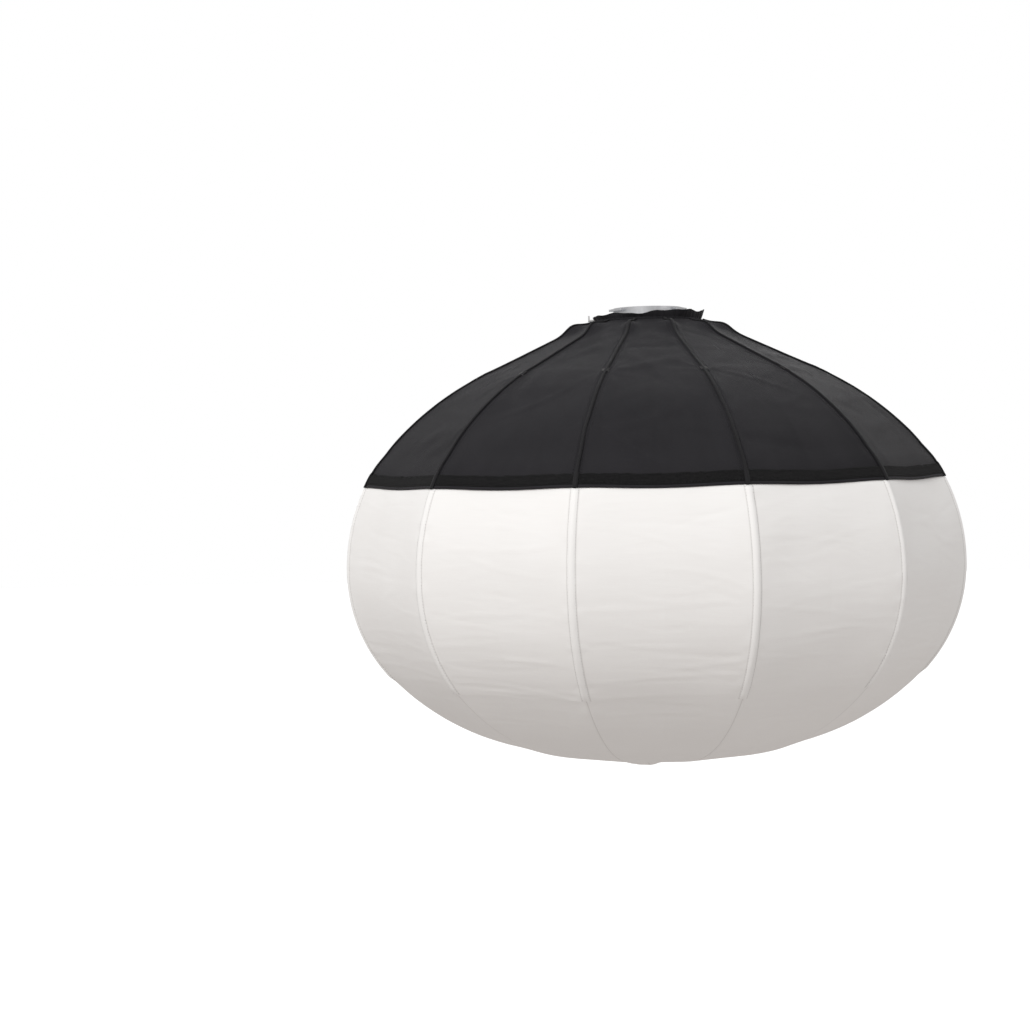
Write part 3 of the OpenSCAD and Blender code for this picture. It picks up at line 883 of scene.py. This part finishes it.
class Patch:
    """Vertices, faces, places on the cloth and finishes, gathered into one mesh."""

    def __init__(self):
        self.points, self.normals, self.uv = [], [], []
        self.faces, self.slots, self.finishes = [], [], []
        self.size = 0

    def finish(self, name):
        if name not in self.finishes:
            self.finishes.append(name)
        return self.finishes.index(name)

    def add(self, points, normals, uv, faces, finish):
        self.faces.append(np.asarray(faces) + self.size)
        self.slots.append(np.full(len(faces), self.finish(finish)))
        self.points.append(points.reshape(-1, 3))
        self.normals.append(normals.reshape(-1, 3))
        self.uv.append(uv.reshape(-1, 2))
        self.size += len(self.points[-1])

    def grid(self, points, normals, uv, finish):
        rows, cols = points.shape[:2]
        at = np.arange(rows * cols).reshape(rows, cols)
        faces = np.stack([at[:-1, :-1], at[1:, :-1], at[1:, 1:], at[:-1, 1:]], -1).reshape(-1, 4)
        self.add(points, normals, uv, faces, finish)

    def tube(self, points, normals, uv, finish):
        """A grid that closes on itself across."""
        wrap = [np.concatenate([a, a[:, :1]], axis=1) for a in (points, normals, uv)]
        self.grid(*wrap, finish)

    def stitches(self, centres, run, out, finish, length=2.6 * MM, wide=0.36 * MM):
        """One small bead of thread at each centre, lying along the run."""
        if len(centres) == 0:
            return
        side = np.cross(out, run)
        corners = np.stack([centres - run * length / 2 - out * 0.2 * MM,
                            centres + side * wide, centres + out * wide * 1.1,
                            centres - side * wide,
                            centres + run * length / 2 - out * 0.2 * MM], axis=1)
        facing = np.stack([out - run, side + out, out, out - side, out + run], axis=1)
        facing /= np.linalg.norm(facing, axis=-1, keepdims=True)
        first = 5 * np.arange(len(centres))[:, None]
        shape = np.array([[0, 1, 2, 2], [0, 2, 3, 3], [4, 2, 1, 1], [4, 3, 2, 2]])
        faces = (first[:, None] + shape[None]).reshape(-1, 4)
        uv = corners[..., :2]
        self.add(corners, facing, uv, faces, finish)

    def build(self, name, slot):
        mesh = bpy.data.meshes.new(name)
        faces = [[int(v) for v in dict.fromkeys(f)] for f in np.vstack(self.faces).tolist()]
        mesh.from_pydata(np.vstack(self.points).tolist(), [], faces)
        for finish in self.finishes:
            mesh.materials.append(FINISHES[finish])
        mesh.polygons.foreach_set("material_index", np.concatenate(self.slots).astype(np.int32))
        layer = mesh.uv_layers.new(name="cloth")
        corner = np.zeros(len(mesh.loops), np.int32)
        mesh.loops.foreach_get("vertex_index", corner)
        layer.data.foreach_set("uv", np.vstack(self.uv)[corner].astype(np.float32).ravel())
        mesh.polygons.foreach_set("use_smooth", [True] * len(mesh.polygons))
        mesh.update()
        mesh.normals_split_custom_set_from_vertices(np.vstack(self.normals).tolist())
        piece = bpy.data.objects.new(name, mesh)
        bpy.context.scene.collection.objects.link(piece)
        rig.slot(piece, slot)
        return piece


def rib_axes(rib):
    """Outward and sideways directions of a rib."""
    a = HALF + rib * PITCH
    return Vector((math.cos(a), math.sin(a), 0)), Vector((-math.sin(a), math.cos(a), 0))


def cloth_uv(along, across, rib):
    rows = np.broadcast_to(along[:, None], across.shape)
    return np.stack([across + rib, rows + 0.11 * rib], axis=-1)


def flatten(piece, body, joint, rib, keep):
    """The piece rides on its body and gathers towards its seam as the joint folds."""
    out, side = rib_axes(rib)
    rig.ride(piece, body)
    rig.squash(piece, joint, axis=tuple(side), anchor=tuple(out * 0.1), keep=keep)


def cut_size(along, low, high):
    """Width, length and area of the flat cut of one rib's cloth between two places."""
    rows = along[(along >= low - 1e-6) & (along <= high + 1e-6)]
    wide = 2 * half_width(rows)
    area = float(np.trapz(wide, rows))
    return (float(wide.max()), float(rows[-1] - rows[0])), area


def swing(point, joint):
    """Where a point in the plane of the first rib goes when a joint of that rib turns fully."""
    j = next(j for j in frame["joints"] if j["name"] == joint)
    way = -1 if j["axis"][0] > 0 else 1
    turn = way * math.radians(max(j["range_deg"]))
    px, pz = math.hypot(*j["pos_m"][:2]), j["pos_m"][2]
    x, z = point[0] - px, point[1] - pz
    return (px + x * math.cos(turn) + z * math.sin(turn), pz + z * math.cos(turn) - x * math.sin(turn))


def folded_share(along, hung=False):
    """How much narrower the space between two ribs is when they are folded."""
    point = float(radius_at(along)), float(height_at(along))
    new = swing(point, "base_01_hang") if hung else point
    new = swing(new, "rib_01_fold")
    return min(1.0, max(new[0] / point[0], 0.03))


def cover_scallop(along, across):
    """The hem hangs a little lower between the seams."""
    wide = half_width(along)[:, None]
    share = np.clip(abs(across) / wide, 0, 1)
    return 2.6 * MM * np.sin(share * math.pi / 2) ** 2 * step_up(along[:, None], BAND_TOP - 0.05, HEM)


def rows_between(low, high, step):
    return np.linspace(low, high, max(2, int(round((high - low) / step)) + 1))


def along_line(line, normal, gap):
    """Evenly spaced spots on a line over the cloth, with the line's run and the cloth's facing."""
    length = np.concatenate([[0], np.cumsum(np.linalg.norm(np.diff(line, axis=0), axis=1))])
    place = np.arange(gap / 2, length[-1], gap)

    def read(values, ahead=0.0):
        return np.stack([np.interp(place + ahead, length, values[:, k]) for k in range(3)], -1)

    spots, facing = read(line), read(normal)
    run = read(line, 0.5 * MM) - spots
    size = np.linalg.norm(run, axis=1)
    good = size > 1e-6
    facing = facing[good] / np.linalg.norm(facing[good], axis=1, keepdims=True)
    return spots[good], run[good] / size[good, None], facing


def seam_stitches(patch, grid, normal, across, off, finish):
    """A row of stitches each side of the seam, this far from it."""
    for side in (-1, 1):
        column = np.argmin(abs(across - side * off), axis=1)
        at = np.arange(len(column))
        if np.min(abs(across[at, column] - side * off)) <= off:
            patch.stitches(*along_line(grid[at, column], normal[at, column], 4.2 * MM), finish)


# ---------- black cover ----------

COVER_CUTS = [NECK_END, along_reach(185 * MM), KINK, along_reach(335 * MM), HEM]


def bend_neck(piece, rib):
    """The piece bends between the speed ring and its rib, all of it turned at its lower edge."""
    out, _ = rib_axes(rib)
    top, low = float(radius_at(0)), float(radius_at(NECK_END)) * math.cos(HALF) ** 2
    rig.blend(piece, "speedring", f"rib_{rib + 1:02d}", start=tuple(out * top), end=tuple(out * low))


def lapped(grid, normal, uv, lap):
    """The same cloth with a strip added along both sides that tucks under its neighbours."""
    sides = []
    for edge, inner, way in ((0, 1, -1), (-1, -2, 1)):
        run = grid[:, edge] - grid[:, inner]
        run /= np.linalg.norm(run, axis=1, keepdims=True)
        sides.append((grid[:, edge] + run * lap - normal[:, edge] * 0.8 * MM, normal[:, edge],
                      uv[:, edge] + np.array([way * lap, 0])))
    return [np.concatenate([left[:, None], whole, right[:, None]], axis=1)
            for whole, left, right in zip((grid, normal, uv), *sides)]


def sew_cover(rib):
    """One rib's share of the cover: the neck piece bends, the rest gathers band by band."""
    tag = f"{rib + 1:02d}"
    start = rows_between(0, NECK_END, 3.5 * MM)
    rest = [rows_between(a, b, 5.5 * MM) for a, b in zip(COVER_CUTS, COVER_CUTS[1:])]
    along = np.concatenate([start, *[r[1:] for r in rest]])
    grid, normal, across = skin_grid(along, 24, 1.5 * MM, rib, black_height, cover_scallop)
    uv = cloth_uv(along, across, rib)
    marks = np.cumsum([0, len(start) - 1, *[len(r) - 1 for r in rest]])
    names = ["cover_neck", "cover_top", "cover_shoulder", "cover_flank", "cover_hem"]
    made = []
    for name, a, b in zip(names, marks, marks[1:]):
        patch = Patch()
        part = slice(a, b + 1)
        cloth = (grid[part], normal[part], uv[part])
        lap = NECK_LAP if name == "cover_neck" else 0
        patch.grid(*(lapped(*cloth, lap) if lap else cloth), "nylon")
        seam_stitches(patch, grid[part], normal[part], across[part], 6.5 * MM, "black_thread")
        piece = patch.build(f"{name}_{tag}", "cover_cloth")
        if name == "cover_neck":
            bend_neck(piece, rib)
        else:
            flatten(piece, f"rib_{tag}", f"rib_{tag}_fold", rib, folded_share(float(along[a])))
        (wide, long), area = cut_size(along, float(along[a]), float(along[b]))
        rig.sheet(piece, flat=(wide + 2 * lap, long), held="stretched", rests_on=[f"rib_{tag}"],
                 area=area + 2 * lap * long)
        made.append(piece)
    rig.replaces(made[1], f"cover_panel_{tag}")


def sew_loop_band(rib):
    """Loop tape round the rim, thick and fuzzy, with a wavering upper edge, and the hem below it."""
    tag = f"{rib + 1:02d}"
    draw = np.random.default_rng(SEED + 500 + rib)
    top, low = BAND_TOP, HEM - HEM_WIDTH
    rise = [(-0.35, -0.2), (-0.1, 0.55), (0.35, 1.15), (1.2, 1.35)]
    down = [(-1.2, 1.35), (-0.35, 1.15), (0.1, 0.55), (0.3, -0.2)]
    middle = np.linspace(top + 2.4 * MM, low - 2.4 * MM, 10)
    along = np.concatenate([[top + a * MM for a, _ in rise], middle, [low + a * MM for a, _ in down]])
    lift = np.concatenate([[h for _, h in rise], np.full(len(middle), 1.4), [h for _, h in down]]) * MM
    wave = np.interp(np.linspace(0, 1, 61), np.linspace(0, 1, 16), draw.normal(0, 0.5 * MM, 16))

    def relief(rows, across, rib):
        under = black_height(rows, across, rib)
        fuzz = draw.normal(0, 0.13 * MM, across.shape) * (lift[:, None] > 1.2 * MM)
        return 0.35 * under + lift[:, None] + fuzz + 0.3 * MM

    def hang(rows, across):
        edge = 1 - np.clip((rows[:, None] - top) / (8 * MM), 0, 1)
        shift = np.interp(np.clip(abs(across) / half_width(rows)[:, None], 0, 1),
                          np.linspace(0, 1, 61), wave)
        return cover_scallop(rows, across) + edge * shift

    grid, normal, across = skin_grid(along, 30, 2.5 * MM, rib, relief, hang)
    patch = Patch()
    patch.grid(grid, normal, cloth_uv(along, across, rib), "loops")
    for row in (4, len(along) - 5):
        patch.stitches(*along_line(grid[row], normal[row], 4.0 * MM), "black_thread", 2.3 * MM)
    sew_hem(patch, rib)
    piece = patch.build(f"loop_band_{tag}", "cover_cloth")
    flatten(piece, f"rib_{tag}", f"rib_{tag}_fold", rib, folded_share(BAND_TOP))
    return piece


def sew_hem(patch, rib):
    """A narrow turned hem below the tape."""
    profile = [(-0.5, 0.2), (0.1, 0.75), (1.2, 0.9), (3.0, 0.9), (3.9, 0.6), (4.2, 0.0), (3.9, -0.8)]
    along = np.array([HEM - HEM_WIDTH + a * MM for a, _ in profile])
    lift = np.array([h for _, h in profile]) * MM

    def relief(rows, across, rib):
        return 0.35 * black_height(rows, across, rib) + lift[:, None] + 0.3 * MM

    grid, normal, across = skin_grid(along, 24, 2.5 * MM, rib, relief, cover_scallop)
    patch.grid(grid, normal, cloth_uv(along, across, rib), "nylon")


def piping_section(along):
    """Half width, half height and lift of the binding: narrow over the cover, wide over the tape."""
    flat = step_up(along, BAND_TOP - 4 * MM, BAND_TOP + 1 * MM)
    wide = 2.3 * MM + 1.2 * MM * flat
    high = 1.25 * MM + 0.1 * MM * flat
    lift = 0.5 * MM + 0.9 * MM * flat
    return wide, high, lift


def sew_piping(rib):
    """Binding tape folded over each seam of the cover, in two pieces so that the neck can bend."""
    tag = f"{rib + 1:02d}"
    sides = 12
    around = np.arange(sides) / sides * 2 * math.pi
    for name, low, high in (("piping_neck", 1 * MM, NECK_END), ("piping", NECK_END, HEM + 0.6 * MM)):
        along = rows_between(low, high, 3.5 * MM)
        zero = np.zeros((len(along), 1))
        bare, out = cloth_points(along, zero)
        wide, tall, lift = piping_section(along)
        ground = black_height(along, zero, rib)[:, 0] + lift
        wobble = 0.35 * MM * np.interp(along, np.arange(0, END, 0.03), np.random.default_rng(
            SEED + 700 + rib).normal(0, 1, len(np.arange(0, END, 0.03))))
        side = np.array([0, 1.0, 0])
        centre = bare[:, 0] + out[:, 0] * ground[:, None] + side * wobble[:, None]
        ring = (centre[:, None] + out[:, :1] * (tall[:, None] * np.sin(around))[..., None]
                + side * (wide[:, None] * np.cos(around))[..., None])
        facing = out[:, :1] * np.sin(around)[..., None] + side * np.cos(around)[:, None]
        facing = np.broadcast_to(facing, ring.shape)
        patch = Patch()
        uv = np.stack([np.broadcast_to(around * 2.5 * MM, ring.shape[:2]),
                       np.broadcast_to(along[:, None], ring.shape[:2])], -1)
        patch.tube(turned(ring, rib)[:, ::-1], turned(facing, rib)[:, ::-1], uv[:, ::-1], "tape")
        piece = patch.build(f"{name}_{tag}", "cover_cloth")
        if name == "piping_neck":
            bend_neck(piece, rib)
        else:
            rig.ride(piece, f"rib_{tag}")


def sew_tack(rib):
    """Dense zigzag of thread over the seam at the kink, with a short end standing out."""
    tag = f"{rib + 1:02d}"
    turns = 14
    path = []
    for k in range(turns + 1):
        side = -1 if k % 2 else 1
        path.append((KINK + (k / turns - 0.5) * 9 * MM, side * 4.6 * MM))
    path.append((KINK + 7 * MM, 6.5 * MM))
    along = np.array([a for a, _ in path])
    across = np.array([[c] for _, c in path])
    bare, out = cloth_points(along, across)
    lift = black_height(along, across, rib)[:, 0] + 1.9 * MM
    lift[-1] -= 1.4 * MM
    points = turned(bare[:, 0] + out[:, 0] * lift[:, None], rib)
    curve = bpy.data.curves.new(f"tack_{tag}", "CURVE")
    curve.dimensions = "3D"
    spline = curve.splines.new("POLY")
    spline.points.add(len(points) - 1)
    for target, p in zip(spline.points, points):
        target.co = (*p, 1)
    curve.bevel_depth = 0.55 * MM
    curve.bevel_resolution = 2
    curve.use_fill_caps = True
    curve.materials.append(FINISHES["black_thread"])
    piece = bpy.data.objects.new(f"tack_{tag}", curve)
    bpy.context.scene.collection.objects.link(piece)
    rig.slot(piece, "cover_cloth")
    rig.ride(piece, f"rib_{tag}")


# ---------- white diffuser ----------

def diffuser_cuts():
    """Bands that each gather by one amount: more bands where the folded ribs come together."""
    return [HEM - 11 * MM, along_at(-0.300), along_at(-0.360), along_at(-0.410), along_at(-0.450),
            along_at(-0.480), along_at(-0.500), TIP]


def sew_diffuser(rib):
    """One rib's share of the globe's side, from under the hem to the rod's tip."""
    tag = f"{rib + 1:02d}"
    cuts = diffuser_cuts()
    parts = [rows_between(a, b, 3.4 * MM) for a, b in zip(cuts, cuts[1:])]
    along = np.concatenate([parts[0], *[p[1:] for p in parts[1:]]])

    def relief(rows, across, rib):
        tuck = 1 - step_up(rows, HEM - 2 * MM, HEM + 3 * MM)[:, None]
        bulge = white_height(rows, across, rib) + sleeve_height(rows, across)
        return bulge * (1 - 0.8 * tuck) - 1.6 * MM * tuck

    grid, normal, across = skin_grid(along, 30, 1.5 * MM, rib, relief)
    uv = cloth_uv(along, across, rib)
    marks = np.cumsum([0, *[len(p) - 1 for p in parts]])
    made = []
    for k, (a, b) in enumerate(zip(marks, marks[1:])):
        part = slice(a, b + 1)
        patch = Patch()
        patch.grid(grid[part], normal[part], uv[part], "white")
        seam_stitches(patch, grid[part], normal[part], across[part], SLEEVE, "white_thread")
        piece = patch.build(f"diffuser_{'abcdefg'[k]}_{tag}", "diffuser_cloth")
        flatten(piece, f"rib_{tag}", f"rib_{tag}_fold", rib, folded_share(float(along[a])))
        flat, area = cut_size(along, float(along[a]), float(along[b]))
        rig.sheet(piece, flat=flat, held="stretched", rests_on=[f"rib_{tag}"], area=area)
        made.append(piece)
    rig.replaces(made[0], f"diffuser_panel_{tag}")


def centre_slack(rows, across, rib):
    """The round middle of the underside: slack cloth that hangs in small lumps, most on one side."""
    spot = turned(cloth_points(rows, across)[0], rib)
    x, y = spot[..., 0], spot[..., 1]
    near = 1 - step_up(np.hypot(x, y), 40 * MM, PATCH_RADIUS)
    drop = 1 - step_up(np.hypot(x + 20 * MM, y + 6 * MM), 4 * MM, 66 * MM)
    lumps = (np.sin(x / (9 * MM) + 0.6) * np.cos(y / (11 * MM)) + 0.6 * np.sin((x + y) / (6 * MM) + 1)
             + 0.5 * np.cos((x - 1.7 * y) / (7.5 * MM)))
    ring = np.exp(-((np.hypot(x, y) - PATCH_RADIUS) / (2.5 * MM)) ** 2)
    return near * (1.1 * MM * lumps + 3.5 * MM + 8.0 * MM * drop) - 1.5 * MM * ring


def sew_base(rib):
    """One rib's share of the underside, from the rod's tip to the middle."""
    tag = f"{rib + 1:02d}"
    along = rows_between(TIP, END - 1.0 * MM, 4.2 * MM)

    def relief(rows, across, rib):
        fade = 1 - step_up(rows, TIP + 60 * MM, TIP + 160 * MM)[:, None]
        open_ = 1 - step_up(rows, END - 90 * MM, END - 70 * MM)[:, None]
        return (white_height(rows, across, rib) * (0.4 + 0.6 * fade) * open_
                + sleeve_height(rows, across) * open_ + centre_slack(rows, across, rib))

    grid, normal, across = skin_grid(along, 30, 1.5 * MM, rib, relief)
    uv = cloth_uv(along, across, rib)
    marks = np.linspace(0, len(along) - 1, 8).astype(int)
    made = []
    for k, (a, b) in enumerate(zip(marks, marks[1:])):
        part = slice(a, b + 1)
        patch = Patch()
        patch.grid(grid[part], normal[part], uv[part], "underside")
        piece = patch.build(f"underside_{'abcdefg'[k]}_{tag}", "diffuser_cloth")
        keep = max(folded_share(float(along[i]), True) for i in range(a, b))
        flatten(piece, f"base_{tag}", f"base_{tag}_hang", rib, keep)
        flat, area = cut_size(along, float(along[a]), float(along[b]))
        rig.sheet(piece, flat=flat, held="stretched", rests_on=[f"rib_{tag}"], area=area)
        made.append(piece)
    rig.replaces(made[0], f"diffuser_base_{tag}")


# ---------- neck ----------

def cuff_rise(sweep):
    """How high the loose edge of the neck stands: uneven, and highest opposite the catch."""
    ripple = (1.3 * np.sin(5 * sweep + 0.8) + 0.9 * np.sin(9 * sweep + 2.1)
              + 0.6 * np.sin(16 * sweep + 0.3))
    return (3.6 + 3.4 * np.cos(sweep - 0.4) + ripple) * MM


def gather_cuff():
    """The cover's neck: a gathered cuff drawn in by a cord over the clamp band, its edge standing up."""
    band_top = BAND_HIGH.z
    low = float(OUTLINE[0, 1]) - 3.0 * MM
    outer = BAND_HIGH.x
    sweep = np.linspace(0, 2 * math.pi, 481)[:-1]
    rise = cuff_rise(sweep)
    profile = [(0.5, 0.0, 0.0), (0.7, 0.0, 0.5), (1.6, 0.0, 0.92), (2.3, 0.0, 1.0), (2.6, 0.0, 0.9),
               (2.2, 0.0, 0.5), (1.5, 0.0, 0.0), (1.0, 0.18, 0.0), (1.9, 0.34, 0.0), (2.1, 0.5, 0.0),
               (1.1, 0.64, 0.0), (2.4, 0.84, 0.0), (3.2, 1.0, 0.0)]
    pleat = 0.35 * np.sin(sweep * 60) + 0.3 * np.sin(sweep * 43 + 1) + 0.25 * np.sin(sweep * 91 + 2)
    flare = 1.5 * np.sin(7 * sweep + 1.5) + 1.0 * np.sin(12 * sweep)
    points = np.zeros((len(profile), len(sweep), 3))
    for k, (out, down, up) in enumerate(profile):
        r = outer + (out + 0.8 * pleat * min(1, k / 3) + up * (1.6 + flare)) * MM
        points[k, :, 0] = r * np.cos(sweep)
        points[k, :, 1] = r * np.sin(sweep)
        points[k, :, 2] = band_top + (low - band_top) * down + (rise - band_top) * up
    closed = np.concatenate([points, points[:, :1]], axis=1)
    normal = np.cross(np.gradient(closed, axis=0), np.gradient(closed, axis=1))
    normal /= np.linalg.norm(normal, axis=-1, keepdims=True)
    uv = np.stack([np.broadcast_to(np.linspace(0, 2 * math.pi * outer, closed.shape[1]),
                                   closed.shape[:2]),
                   np.broadcast_to(np.linspace(0, 0.03, len(profile))[:, None], closed.shape[:2])], -1)
    patch = Patch()
    patch.grid(closed, normal, uv, "nylon")
    piece = patch.build("neck_cuff", "cover_cloth")
    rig.ride(piece, "speedring")
    round_ = 2 * math.pi * outer
    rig.sheet(piece, flat=(round_ * 1.02, 28 * MM), held="gathered", rests_on=["neck_band"])


# ---------- carried-over parts ----------

def dress_frame():
    """Every hard part keeps its shape and gets its own finish."""
    arm_reach = float(radius_at(KINK)) - 2 * MM
    rib_material = rib_finish(arm_reach)
    plain = {"speedring_plate": "plate", "bayonet_collar": "collar", "plate_screws": "steel",
             "rib_hub": "hub", "hinge_pins": "steel", "neck_band": "band", "catch_spring": "steel",
             "collar_catch": "steel", "drive_ring": "ring"}
    for name, node in frame["nodes"].items():
        if name in plain:
            finish = FINISHES[plain[name]]
        elif name.startswith("rib_"):
            finish = rib_material
        elif name.startswith("cover"):
            finish = FINISHES["nylon"]
        else:
            finish = FINISHES["white"]
        for spot in node.material_slots:
            spot.material = finish


dress_frame()
gather_cuff()
for rib in range(RIBS):
    sew_cover(rib)
    sew_loop_band(rib)
    sew_piping(rib)
    sew_tack(rib)
    sew_diffuser(rib)
    sew_base(rib)

low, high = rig.bounds()
with open("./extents.json", "w") as f:
    json.dump({"cad": [list(cad_low), list(cad_high)], "visual": [list(low), list(high)]}, f)
